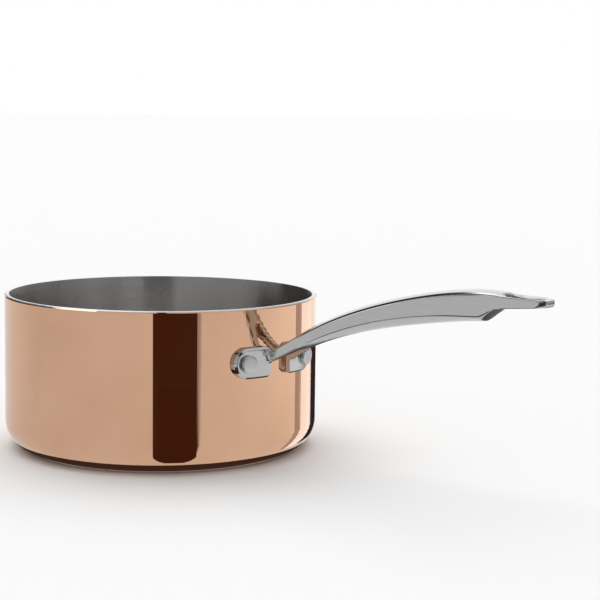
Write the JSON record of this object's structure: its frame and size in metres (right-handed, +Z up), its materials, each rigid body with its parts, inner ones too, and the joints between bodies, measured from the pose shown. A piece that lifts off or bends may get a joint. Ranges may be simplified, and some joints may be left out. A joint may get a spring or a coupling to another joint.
{
  "type": "saucepan",
  "caption": "Straight-sided copper saucepan with a rounded foot, a steel lining and one long cast handle riveted to the wall, with a hanging hole in its end.",
  "frame": {"origin": "centre of the flat underside of the pan, on the surface it stands on", "axes": "+Z up along the pan's axis, +X out along the handle, +Y to the left of someone who looks along the handle from the pan"},
  "size_m": [0.355, 0.18, 0.1104],
  "materials": {
    "copper": "mirror polished copper",
    "aluminium": "fine ground edge",
    "lining_steel": "brushed round the pan",
    "handle_steel": "bright satin polish",
    "rivet_steel": "satin polish"
  },
  "bodies": {
    "root": {"copper_shell": "copper", "aluminium_core": "aluminium", "steel_lining": "lining_steel", "handle": "handle_steel", "left_rivet": "rivet_steel", "right_rivet": "rivet_steel"}
  },
  "joints": []
}
